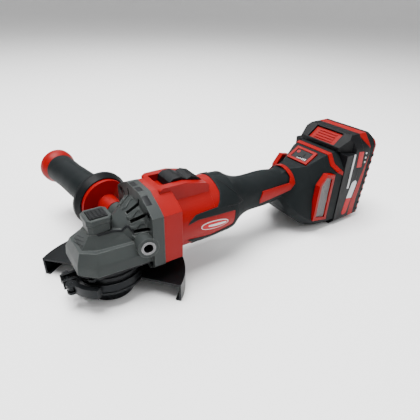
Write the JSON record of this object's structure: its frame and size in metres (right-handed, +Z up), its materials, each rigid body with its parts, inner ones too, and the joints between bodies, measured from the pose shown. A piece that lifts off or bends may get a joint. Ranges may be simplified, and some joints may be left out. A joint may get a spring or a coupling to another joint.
{
  "type": "angle grinder",
  "caption": "Cordless angle grinder with half-round wheel guard, side handle, slide switch and slide-on battery.",
  "frame": {"origin": "under the middle of the whole tool, on the surface that it stands on", "axes": "+X from the gear head to the battery, +Y to the side handle, +Z up along the spindle axis"},
  "size_m": [0.3538, 0.2148, 0.106],
  "materials": {
    "cast_grey": "satin cast, painted graphite grey",
    "black_cast": "satin",
    "black_steel": "satin black",
    "zinc_steel": "zinc plated",
    "ground_steel": "ground",
    "spring_steel": "bright",
    "magnet_steel": "plain",
    "copper": "enamelled",
    "red_plastic": "satin moulded",
    "black_plastic": "satin moulded",
    "black_rubber": "matte overmould",
    "panel_black": "gloss",
    "key_grey": "satin",
    "filter_grey": "fine steel mesh",
    "board_green": "solder mask",
    "cell_wrap": "shrink wrap",
    "light_grey": "satin"
  },
  "bodies": {
    "housing": {"gear_case": "cast_grey", "handle_inserts": "zinc_steel", "bearing_retainer": "black_cast", "retainer_screws": "zinc_steel", "head_screws": "zinc_steel", "lock_spring": "spring_steel", "spindle_top_bearing": "ground_steel", "spindle_lower_bearing": "ground_steel", "motor_housing": "red_plastic", "housing_overmould": "black_rubber", "stator_core": "magnet_steel", "stator_coils": "copper", "front_motor_bearing": "ground_steel", "rear_motor_bearing": "ground_steel", "air_baffle": "black_plastic", "switch_spring": "spring_steel", "switch_module": "black_plastic", "handle_shell_left": "black_rubber", "handle_shell_right": "black_rubber", "grip_accent_left": "red_plastic", "grip_accent_right": "red_plastic", "panel_bezel": "red_plastic", "panel_face": "panel_black", "rear_trim": "red_plastic", "vent_frame_left": "red_plastic", "vent_frame_right": "red_plastic", "dust_filters": "filter_grey", "shell_screws": "zinc_steel", "control_board": "board_green", "terminal_block": "black_plastic"},
    "spindle_group": {"spindle": "ground_steel", "crown_gear": "ground_steel", "inner_flange": "ground_steel"},
    "flange_nut": {"outer_flange": "black_steel"},
    "rotor": {"rotor_shaft": "ground_steel", "rotor_core": "magnet_steel", "fan": "black_plastic", "pinion_gear": "ground_steel"},
    "guard": {"wheel_guard": "black_steel", "guard_band": "black_steel", "clamp_screw": "zinc_steel"},
    "guard_lever": {"clamp_lever": "black_steel"},
    "lock": {"lock_button": "black_plastic", "lock_pin": "ground_steel"},
    "switch": {"slide_switch": "black_rubber", "switch_link": "black_plastic"},
    "speed_key": {"speed_button": "key_grey"},
    "battery": {"battery_case_front": "black_plastic", "battery_case_rear": "black_plastic", "battery_bumper": "red_plastic", "battery_cells": "cell_wrap", "battery_board": "board_green", "battery_stripes": "light_grey", "latch_spring": "spring_steel"},
    "latch": {"latch_button": "red_plastic"},
    "side_handle": {"handle_stud": "zinc_steel", "handle_disc": "red_plastic", "handle_flange": "black_plastic", "handle_grip": "black_rubber", "handle_cap": "red_plastic"}
  },
  "joints": [
    {"name": "spindle_spin", "type": "hinge", "parent": "housing", "child": "spindle_group", "pos_m": [-0.13006, -0.05571, 0.018], "axis": [0, 0, 1], "continuous": true},
    {"name": "motor_spin", "type": "hinge", "parent": "housing", "child": "rotor", "pos_m": [-0.13006, -0.05571, 0.056], "axis": [1, 0, 0], "continuous": true},
    {"name": "flange_nut_off", "type": "slide", "parent": "spindle_group", "child": "flange_nut", "axis": [0, 0, -1], "range_m": [0, 0.012]},
    {"name": "guard_turn", "type": "hinge", "parent": "housing", "child": "guard", "pos_m": [-0.13006, -0.05571, 0.018], "axis": [0, 0, 1], "range_deg": [-90, 60]},
    {"name": "guard_lever_open", "type": "hinge", "parent": "guard", "child": "guard_lever", "pos_m": [-0.16606, -0.06621, 0.018], "axis": [0, 0, 1], "range_deg": [-110, 0]},
    {"name": "spindle_lock_press", "type": "slide", "parent": "housing", "child": "lock", "axis": [0, 0, -1], "range_m": [0, 0.0036], "stiffness_N_per_m": 900, "springref_m": -0.003, "deforming": ["lock_spring"]},
    {"name": "switch_slide", "type": "slide", "parent": "housing", "child": "switch", "axis": [-1, 0, 0], "range_m": [0, 0.008], "stiffness_N_per_m": 400, "springref_m": -0.004, "deforming": ["switch_spring"]},
    {"name": "speed_key_press", "type": "slide", "parent": "housing", "child": "speed_key", "axis": [0.5105, 0, -0.8599], "range_m": [0, 0.0006], "stiffness_N_per_m": 800, "springref_m": -0.001},
    {"name": "battery_slide", "type": "slide", "parent": "housing", "child": "battery", "axis": [0, 0, 1], "range_m": [0, 0.11]},
    {"name": "battery_latch_press", "type": "slide", "parent": "battery", "child": "latch", "axis": [0.6, 0, -0.8], "range_m": [0, 0.003], "stiffness_N_per_m": 900, "springref_m": -0.002, "deforming": ["latch_spring"]},
    {"name": "side_handle_off", "type": "slide", "parent": "housing", "child": "side_handle", "axis": [-0.1735, 0.984, 0.0401], "range_m": [0, 0.03]}
  ],
  "couplings": [
    {"joint": "motor_spin", "follows": "spindle_spin", "ratio": 3}
  ]
}
